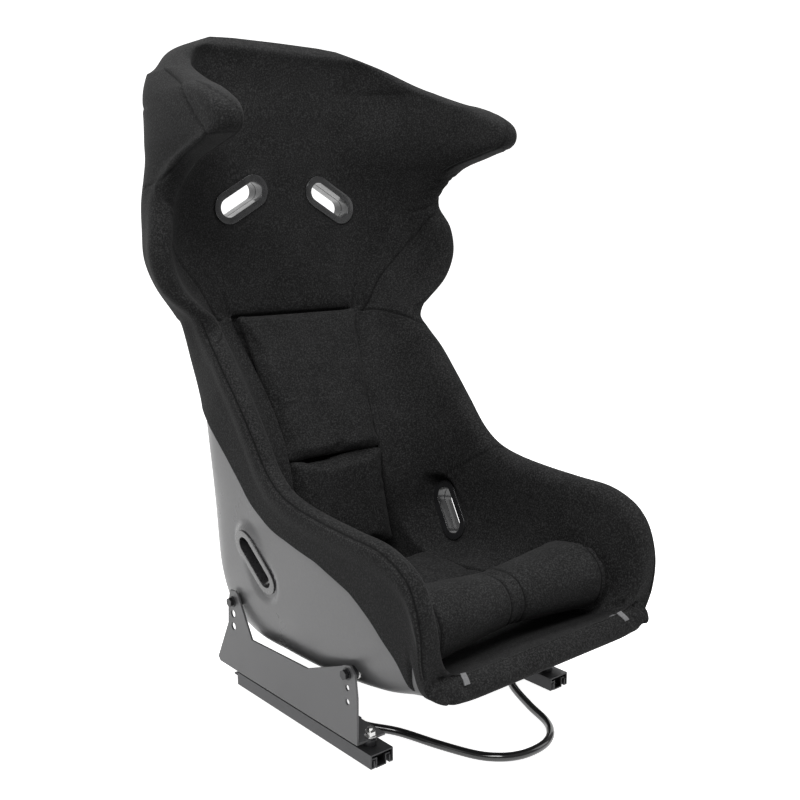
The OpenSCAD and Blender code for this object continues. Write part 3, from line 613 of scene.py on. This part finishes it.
top_rows = cap_rows(cover_half[-1], 38, np.array([-0.2, 0.98]) * 17)
lip_rows = cap_rows(cover_half[0], 17, np.array([-0.98, -0.15]) * 16)
cover_half = np.concatenate([np.array(lip_rows[::-1]), cover_half, np.array(top_rows)])
cover_u = np.concatenate([np.full(CAP_ROWS, 0.0), main_u, np.full(CAP_ROWS, float(TOP))])
cover_grid = np.concatenate([cover_half[:, ::-1] * [-1, 1, 1], cover_half[:, 1:]], 1)
half_columns = cover_half.shape[1]


def relax(grid, times):
    """Evens out steps from row to row."""
    for _ in range(times):
        grid[1:-1] = grid[1:-1] * 0.5 + (grid[:-2] + grid[2:]) * 0.25
    return grid


def grid_normals(grid):
    """The direction that each point of a grid faces."""
    down = np.gradient(grid, axis=0)
    along = np.gradient(grid, axis=1)
    normal = np.cross(along, down)
    return normal / np.maximum(np.linalg.norm(normal, axis=-1, keepdims=True), 1e-9)


# The crest falls away in one soft curve to both sides, as (across, height)
CREST = np.array([(0, 1005), (80, 1004), (120, 1001), (150, 995), (175, 987), (200, 975), (220, 962),
                  (240, 945), (270, 915)], float)
crest = np.interp(np.abs(cover_grid[..., 0]), CREST[:, 0], CREST[:, 1])
over = crest - cover_grid[..., 2]
high = cover_grid[..., 2] > 900
cover_grid[..., 2] = np.where(high, crest - 0.5 * (over + np.sqrt(over * over + 60)), cover_grid[..., 2])
cover_grid = relax(cover_grid, 4)
facing = np.abs(np.arange(cover_grid.shape[1]) - (half_columns - 1)) < ROLL_START
cover_grid[:, facing] = seated(cover_grid[:, facing], True)
cover_normal = grid_normals(cover_grid)
# The normals face out of the cloth, towards the occupant
if cover_normal[ROWS_A_SECTION * 20, half_columns - 1, 1] > 0:
    cover_normal = -cover_normal

# Felted knit: pale flecks and short pile over stitches, with painted shade along the seams' grooves
felt_group, felt_in, felt_out = shader_group(
    "felted_knit",
    [("Colour", (0.02, 0.02, 0.02, 1)), ("Fleck Colour", (0.06, 0.06, 0.06, 1))],
    [("Colour", "Color"), ("Roughness", "Float"), ("Height", "Float")])
place = felt_group.nodes.new("ShaderNodeTexCoord").outputs["Object"]
fleck = shader_node(felt_group, "TexNoise", Scale=430.0, Detail=3.0, Roughness=0.65)
pile = shader_node(felt_group, "TexNoise", Scale=950.0, Detail=3.0, Roughness=0.7)
wash = shader_node(felt_group, "TexNoise", Scale=16.0, Detail=4.0, Roughness=0.6)
loops = shader_node(felt_group, "TexVoronoi", Scale=620.0)
for texture in (fleck, pile, wash, loops):
    felt_group.links.new(place, texture.inputs["Vector"])
crisp = maths(felt_group, "MAXIMUM", spread(felt_group, fleck.outputs["Fac"], -0.9, 1.5), 0.0)
shade = weighed(felt_group, (crisp, 0.6), (spread(felt_group, pile.outputs["Fac"], 0, 1), 0.2),
                (spread(felt_group, wash.outputs["Fac"], 0, 1), 0.15))
# The seam attribute is painted shade: it takes the pale flecks out along the seam grooves
seam_shade_node = shader_node(felt_group, "Attribute", attribute_name="seam")
shade = maths(felt_group, "MULTIPLY", shade, maths(felt_group, "SUBTRACT", 1.0, seam_shade_node.outputs["Fac"]))
blended(felt_group, shade, felt_in, felt_out)
felt_group.links.new(spread(felt_group, fleck.outputs["Fac"], 0.78, 0.95), felt_out.inputs["Roughness"])
felt_group.links.new(weighed(felt_group, (pile.outputs["Fac"], 0.6), (loops.outputs["Distance"], 0.5),
                             (fleck.outputs["Fac"], 0.9)), felt_out.inputs["Height"])
knit = grouped("felted_knit", felt_group,
               [("Colour", (0.0025, 0.0025, 0.0026, 1)), ("Fleck Colour", (0.046, 0.046, 0.0465, 1))],
               0.35, 0.0006)
set_skin(knit, Specular_IOR_Level=0.12, Sheen_Weight=0.03, Sheen_Roughness=0.5)


def along(points, pitch=1.5):
    """A smooth line through points in mm, with a point every pitch mm."""
    rows = np.array(points, float)
    line = np.array([smooth_row(rows, u) for u in np.linspace(0, len(rows) - 1, 30 * (len(rows) - 1) + 1)])
    length = np.linalg.norm(np.diff(line, axis=0), axis=1).sum()
    return even_points(line, max(3, int(length / pitch)))


def pulled_in(gap, width):
    """Shape of the cloth across a seam: drawn in along it, raised a little beside it."""
    ratio = gap / width
    return 0.25 * np.exp(-((ratio - 2.1) / 1.1) ** 2) - np.exp(-ratio * ratio)


COVER_PULL = 1.5
FOLD_WIDTH = 2.5
# Width in mm of the painted shade along a seam
SEAM_SHADE_WIDTH = 1.3


def sew(grid, normal, seams, seam_shade):
    """Draws the cloth in along seams, with painted shade along the narrow ones: each has a line in mm, a
    depth and a width.
    """
    flat, up = grid.reshape(-1, 3), normal.reshape(-1, 3)
    shift = np.zeros(len(flat))
    for line, depth, width in seams:
        tree = KDTree(len(line))
        for k, point in enumerate(line):
            tree.insert(point, k)
        tree.balance()
        low, high = line.min(0) - 5 * width - 4, line.max(0) + 5 * width + 4
        near = np.nonzero(((flat > low) & (flat < high)).all(1))[0]
        gap = np.array([tree.find(flat[k])[2] for k in near])
        shift[near] += COVER_PULL * depth * pulled_in(gap, width)
        # Narrow seams also get painted shade along their groove
        if width < FOLD_WIDTH:
            seam_shade[near] = np.maximum(seam_shade[near], np.exp(-(gap / SEAM_SHADE_WIDTH) ** 2))
    return (flat + up * shift[:, None]).reshape(grid.shape)


def on_cover(points):
    """Points moved onto the cover."""
    return [cover_tree.find_nearest(Vector(p))[0] for p in points]


def both_hands(points):
    """A line on the occupant's left and its mirror on the right."""
    return [points, [(-x, y, z) for x, y, z in points]]


row_count, column_count = cover_grid.shape[:2]
corners = [r * column_count + c for r in range(row_count - 1) for c in range(column_count - 1)]
cover_tree = BVHTree.FromPolygons([Vector(p) for p in cover_grid.reshape(-1, 3)],
                                  [(k, k + column_count, k + column_count + 1, k + 1) for k in corners])
# Painted shade along the seams, one value for each point of the grid
seam_shade_values = np.zeros(row_count * column_count)
# A seam runs along each rim's outer shoulder from the lip to the waist
RIM_SEAM_COLUMN = ROLL_START + 17
seams = []
top_lines = []
for hand in (1, -1):
    column = half_columns - 1 + hand * RIM_SEAM_COLUMN
    rows = [r for r, u in enumerate(cover_u) if 0.6 <= u <= 14.9]
    crown = even_points(cover_grid[rows, column], 600)
    seams.append((crown, 1.1, 1.8))
    beside = even_points(cover_grid[rows, column + hand * 2], 600)
    top_lines.append(beside)
# Seams and folds on the occupant's left, each mirrored: line, depth, width
SEAMS = [
    # shoulder panel, waist, pleat beside the pad, hip panel
    ([(253, 207, 729), (245, 235, 700), (221, 262, 661), (183, 272, 619), (156, 273, 575), (143, 273, 561)],
     1.3, 2.0),
    ([(139, 275, 561), (162, 264, 562), (176, 235, 558), (188, 191, 549), (202, 180, 536)], 1.5, 2.2),
    ([(134, 278, 606), (130, 278, 593), (128, 277, 581), (124, 278, 566)], 2.2, 2.6),
    ([(207, -12, 357), (191, 24, 336), (184, 65, 311), (174, 97, 288)], 1.2, 2.0),
    # gusset round the head wing: outer line, inner line and the join across it
    ([(237, 230, 926), (253, 165, 904), (259, 121, 881), (266, 88, 856), (275, 60, 831), (273, 74, 820),
      (271, 101, 809), (268, 147, 792), (270, 195, 777), (256, 258, 765)], 1.3, 1.8),
    ([(258, 110, 904), (262, 64, 889), (256, 39, 873), (249, 31, 855), (243, 36, 835), (238, 60, 815),
      (234, 105, 800), (228, 155, 786)], 1.3, 1.8),
    ([(275, 60, 830), (267, 40, 828), (247, 36, 830)], 1.2, 1.6),
    # slack at the wing's root
    ([(269, 173, 784), (262, 177, 772), (248, 192, 762)], 2.0, 3.2),
    ([(266, 163, 786), (253, 172, 774), (236, 196, 762)], 2.2, 3.0),
    ([(264, 153, 788), (252, 161, 780), (232, 182, 774)], 1.8, 2.8),
    ([(273, 210, 764), (261, 208, 744), (232, 245, 730)], 2.0, 3.4),
    # slack gathered at the lip's corner
    ([(177, -265, 163), (188, -290, 169), (197, -308, 168)], 2.2, 3.2),
    ([(165, -301, 162), (174, -311, 156), (193, -313, 156)], 2.0, 2.8),
    ([(173, -259, 158), (181, -286, 163), (200, -312, 158)], 1.8, 2.6),
    ([(160, -306, 160), (170, -313, 150), (188, -314, 146)], 2.0, 3.0),
]
for line, depth, width in SEAMS:
    for points in both_hands(line):
        seams.append((np.array(on_cover(along(points))), depth, width))
cover_grid = sew(cover_grid, cover_normal, seams, seam_shade_values)
seam_shade_values = seam_shade_values.reshape(cover_grid.shape[:2])


def soften(piece, above, times):
    """Eases a piece's folds over everything higher than above, in m."""
    form = bmesh.new()
    form.from_mesh(piece.data)
    high = [v for v in form.verts if v.co.z > above and not v.is_boundary]
    for _ in range(times):
        bmesh.ops.smooth_vert(form, verts=high, factor=0.5, use_axis_x=True, use_axis_y=True, use_axis_z=True)
    form.to_mesh(piece.data)
    form.free()


def cover_piece(name, rows, replaced):
    """One of the two sewn covers, from so many rows of the whole."""
    grid = cover_grid[rows]
    piece = sheet_mesh(name, grid, faces_clear(grid))
    # The seam attribute holds painted shade along the seams
    seam_shade = piece.data.attributes.new("seam", "FLOAT", "POINT")
    seam_shade.data.foreach_set("value", seam_shade_values[rows].ravel().astype(np.float32))
    tidy_mesh(piece)
    paint(piece, knit)
    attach(piece, "seat")
    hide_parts(*replaced)
    return piece


# The two covers meet in a seam at the waist
WAIST_SECTION = 15.0
waist_row = int(np.argmax(cover_u >= WAIST_SECTION))
cover_piece("bucket_cover", slice(0, waist_row + 1),
            ["front_trim", "pan_trim", "hip_trim", "back_trim", "outer_trim_left", "outer_trim_right",
             "edge_roll"])
upper_cover = cover_piece("upper_cover", slice(waist_row, len(cover_u)), ["shoulder_trim", "head_trim"])
soften(upper_cover, 0.93, 260)

# A line of dark thread along the top of both rims
thread = coated("dark_thread", (0.014, 0.014, 0.0145), (0.03, 0.03, 0.03), (0.5, 0.7), patch_scale=400)
THREAD_RADIUS = 0.0005
thread_form = bmesh.new()
for line in top_lines:
    for a, b in zip(line[:-2:4], line[2::4]):
        stitch = bmesh.ops.create_uvsphere(thread_form, u_segments=8, v_segments=6, radius=THREAD_RADIUS)
        run = Vector(b - a) / 1000
        turn = run.to_track_quat("Z", "Y").to_matrix()
        for vert in stitch["verts"]:
            vert.co.z *= run.length / (2 * THREAD_RADIUS)
            vert.co = turn @ vert.co + Vector((a + b) / 2000)
top_stitches = new_piece("top_stitches", thread_form)
paint(top_stitches, thread)
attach(top_stitches, "seat")

# --- loose pads -------------------------------------------------------------
# Separate foam cushions in the same knit: one under the hips, two thigh rolls
# in front of it, and a lower and an upper back pad. Hook tape holds them.

# For each pad, how far its cover swells, and the point and share by which it is
# stretched to fill its recess
PADS = {"seat_pad": (0.007, (0, 0, 0.12), (1.03, 1.02, 1)),
        "thigh_roll_left": (0.008, (0.168, -0.2, 0.2), (1.05, 1.05, 1.06)),
        "thigh_roll_right": (0.008, (-0.168, -0.2, 0.2), (1.05, 1.05, 1.06)),
        "lower_back_pad": (0.006, (0, 0.15, 0.19), (1.12, 1, 1.08)),
        "upper_back_pad": (0.006, (0, 0.2, 0.37), (1.1, 1, 1.13))}


def bake(piece):
    """Applies a piece's modifiers to its mesh."""
    done = bpy.data.meshes.new_from_object(piece.evaluated_get(bpy.context.evaluated_depsgraph_get()))
    piece.modifiers.clear()
    old, piece.data = piece.data, done
    done.name = piece.name
    bpy.data.meshes.remove(old)
    done.polygons.foreach_set("use_smooth", np.ones(len(done.polygons), bool))


CLOTH_STEPS = 20
ROLL_NECK = 0.03


def stuffed(node, swell, root, stretch):
    """A pad's cover blown out from its foam by cloth under pressure."""
    mesh = nodes[node].data.copy()
    for vert in mesh.vertices:
        vert.co = [r + (c - r) * k for c, r, k in zip(vert.co, root, stretch)]
        if "roll" in node:
            # The inner end is drawn in to a rounded panel
            inset = max(0.0, 1 - abs(vert.co.x) / ROLL_NECK)
            waist = 1 - 0.5 * inset * inset
            vert.co.y = root[1] + (vert.co.y - root[1]) * waist
            vert.co.z = root[2] + (vert.co.z - root[2]) * waist
    piece = bpy.data.objects.new(node.replace("_pad", "_cushion").replace("_roll", "_bolster"), mesh)
    scene.collection.objects.link(piece)
    tidy_mesh(piece, 0.00001)
    remesh = piece.modifiers.new("even_mesh", "REMESH")
    remesh.mode, remesh.voxel_size, remesh.use_smooth_shade = "VOXEL", 0.005, True
    shrink = piece.modifiers.new("slack", "DISPLACE")
    shrink.strength, shrink.mid_level = -swell * 0.55, 0
    bake(piece)
    start = np.array([v.co for v in piece.data.vertices])
    cloth = piece.modifiers.new("cloth", "CLOTH")
    cloth.settings.use_pressure = True
    cloth.settings.uniform_pressure_force = 4
    cloth.settings.effector_weights.gravity = 0
    cloth.settings.quality = 5
    cloth.point_cache.frame_start, cloth.point_cache.frame_end = 1, CLOTH_STEPS
    for step in range(1, CLOTH_STEPS + 1):
        scene.frame_set(step)
    bake(piece)
    moved = np.array([v.co for v in piece.data.vertices])
    shift = moved - start
    size = np.linalg.norm(shift, axis=1, keepdims=True)
    moved = start + shift * np.minimum(1, swell * 1.3 / np.maximum(size, 1e-9))
    piece.data.vertices.foreach_set("co", moved.astype(np.float32).ravel())
    scene.frame_set(1)
    finer = piece.modifiers.new("finer", "SUBSURF")
    finer.levels = finer.render_levels = 1
    bake(piece)
    return piece


RING_AT = (13, 155)
RING_DEPTH = 2.0
RING_WIDTH = 2.4


def ring_seams(piece):
    """Draws a bolster's cover in along the seams of its end panels, with painted shade along them."""
    mesh = piece.data
    spot = np.array([v.co for v in mesh.vertices]) * 1000
    normal = np.array([v.normal for v in mesh.vertices])
    seam_shade = np.zeros(len(spot))
    for offset in RING_AT:
        gap = np.abs(np.abs(spot[:, 0]) - offset)
        spot += normal * (RING_DEPTH * pulled_in(gap, RING_WIDTH))[:, None]
        seam_shade = np.maximum(seam_shade, np.exp(-(gap / SEAM_SHADE_WIDTH) ** 2))
    mesh.vertices.foreach_set("co", (spot / 1000).astype(np.float32).ravel())
    mesh.attributes["seam"].data.foreach_set("value", seam_shade.astype(np.float32))


for node, filling in PADS.items():
    cushion = stuffed(node, *filling)
    # Room for painted shade along seams; the bolsters fill it
    cushion.data.attributes.new("seam", "FLOAT", "POINT")
    if "roll" in node:
        ring_seams(cushion)
    paint(cushion, knit)
    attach(cushion, "seat")
    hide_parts(node)

# --- webbing tabs -----------------------------------------------------------
# Short loops of pale grey webbing sewn to the front of the cover, which pull it
# tight at the lip's corners.
webbing = coated("grey_webbing", (0.13, 0.13, 0.135), (0.24, 0.24, 0.245), (0.6, 0.8), patch_scale=300,
                 grain_scale=1200, share=0.9, bump=0.5, depth=0.0004)
tab_rows = []
for hand in (1, -1):
    for edge in (-4.5, 4.5):
        line = [cover_tree.ray_cast(Vector((x + edge, y, 190)), Vector((0, 0, -1)))[0]
                for x, y in zip(np.linspace(148, 155, 9), np.linspace(-286, -308, 9))]
        tab_rows.append(np.array([(hand * x, y, z) for x, y, z in line]))
webbing_form = bmesh.new()
for inner, outer in (tab_rows[:2], tab_rows[2:]):
    strips = []
    for k in range(len(inner)):
        across = outer[k] - inner[k]
        ahead = inner[min(k + 1, len(inner) - 1)] - inner[max(k - 1, 0)]
        lift = np.cross(across, ahead)
        lift = lift / np.linalg.norm(lift)
        lift = lift if lift @ np.array([0, -0.5, 1]) > 0 else -lift
        corners = (inner[k] - lift * 0.5, inner[k] + lift * 1.3, outer[k] + lift * 1.3, outer[k] - lift * 0.5)
        strips.append([webbing_form.verts.new(Vector(p / 1000)) for p in corners])
    for a, b in zip(strips, strips[1:]):
        for i in range(4):
            webbing_form.faces.new((a[i], b[i], b[(i + 1) % 4], a[(i + 1) % 4]))
    for end in (strips[0], strips[-1]):
        webbing_form.faces.new(end)
bmesh.ops.recalc_face_normals(webbing_form, faces=webbing_form.faces)
webbing_strips = new_piece("webbing_strips", webbing_form)
paint(webbing_strips, webbing)
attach(webbing_strips, "seat")
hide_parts("webbing_tabs")

# --- belt slot bezels -------------------------------------------------------
# Moulded black plastic frames that line the four belt slots, a front and a rear
# half each, clipped together through the shell.
slot_plastic = coated("slot_plastic", (0.016, 0.016, 0.017), (0.034, 0.034, 0.036), (0.22, 0.34),
                      patch_scale=60, grain_scale=500, share=0.4, bump=0.05, depth=0.0002, coat=0.3)
for node in ("shoulder_bezels_front", "shoulder_bezels_rear", "lap_bezels_inner", "lap_bezels_outer"):
    paint(eased(node, 0.0008), slot_plastic)

# --- latches ----------------------------------------------------------------
# A lug under each bracket carries a pin, a coil spring and a toothed plate that
# locks into the floor rail's notches.
spring_wire = coated("spring_wire", (0.5, 0.5, 0.5), (0.3, 0.3, 0.3), (0.2, 0.35), metallic=1.0,
                     patch_scale=200)
paint(eased("latch_lugs", 0.0004), slider_steel)
paint(eased("latch_plates", 0.0004), slider_steel)
paint(eased("pivot_pins", 0.0004), zinc)
paint(nodes["latch_springs"], spring_wire)
shade_smooth(nodes["latch_springs"])

# --- release bar ------------------------------------------------------------
# One bent 12 mm steel tube in gloss black paint that joins both latch plates.
# The driver lifts its front loop to free the seat.
bar_paint = coated("bar_paint", (0.006, 0.006, 0.0065), (0.02, 0.02, 0.021), (0.12, 0.22), patch_scale=30,
                   grain_scale=600, share=0.5, bump=0.04, depth=0.0002, coat=0.6)
BAR_HALF = [(148, -85, 19), (140, -98, 17), (113, -129, 12), (90, -185, 8), (71, -236, 8), (51, -262, 8),
            (27, -276, 8), (0, -280, 8)]
BAR_RADIUS = 6
BAR_SIDES = 24
bar_line = along(BAR_HALF + [(-x, y, z) for x, y, z in BAR_HALF[-2::-1]], 3.0)
bar_rings = []
for k, point in enumerate(bar_line):
    ahead = bar_line[min(k + 1, len(bar_line) - 1)] - bar_line[max(k - 1, 0)]
    ahead = ahead / np.linalg.norm(ahead)
    side = np.cross(ahead, [0, 0, 1])
    side = side / np.linalg.norm(side)
    top = np.cross(side, ahead)
    turn = np.linspace(0, 2 * math.pi, BAR_SIDES, endpoint=False)[:, None]
    bar_rings.append(point + BAR_RADIUS * (np.cos(turn) * side + np.sin(turn) * top))
bar_ends = [bar_line[[k]].repeat(BAR_SIDES, 0) for k in (0, -1)]
release_bar = sheet_mesh("release_tube", np.array([bar_ends[0], *bar_rings, bar_ends[1]]), closed=True)
tidy_mesh(release_bar)
paint(release_bar, bar_paint)
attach(release_bar, "release_bar")
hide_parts("release_bar")
